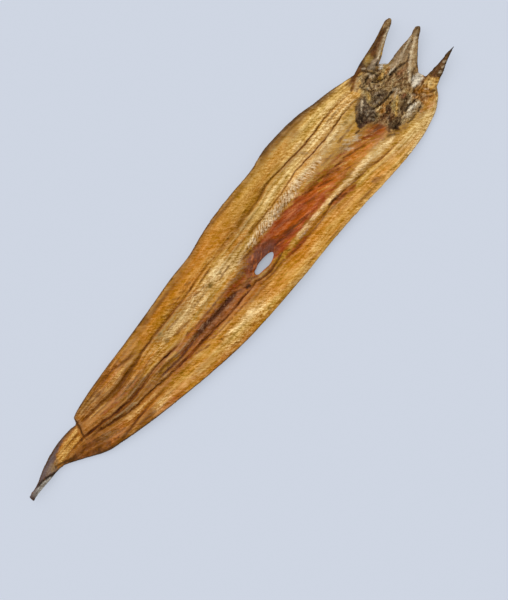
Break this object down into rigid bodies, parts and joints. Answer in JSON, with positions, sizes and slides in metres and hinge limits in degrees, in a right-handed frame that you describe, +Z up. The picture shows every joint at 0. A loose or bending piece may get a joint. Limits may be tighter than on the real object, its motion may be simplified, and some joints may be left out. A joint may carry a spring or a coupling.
{
  "type": "dried eel",
  "caption": "Whole dried eel, slit along the back and opened flat, flesh side up, with pleated golden flesh, a reddish belly cavity with a vent slot, splayed jaws and a thin dark tail.",
  "frame": {"origin": "middle of the underside of the part's box, on the surface it lies on", "axes": "+X along the body from the tail to the head, +Y across the opened body, +Z up out of the flesh side"},
  "size_m": [0.618, 0.114, 0.0131],
  "materials": {
    "dried_flesh": "dried fish flesh, golden brown, slightly oily"
  },
  "bodies": {
    "root": {"eel": "dried_flesh"}
  },
  "joints": []
}
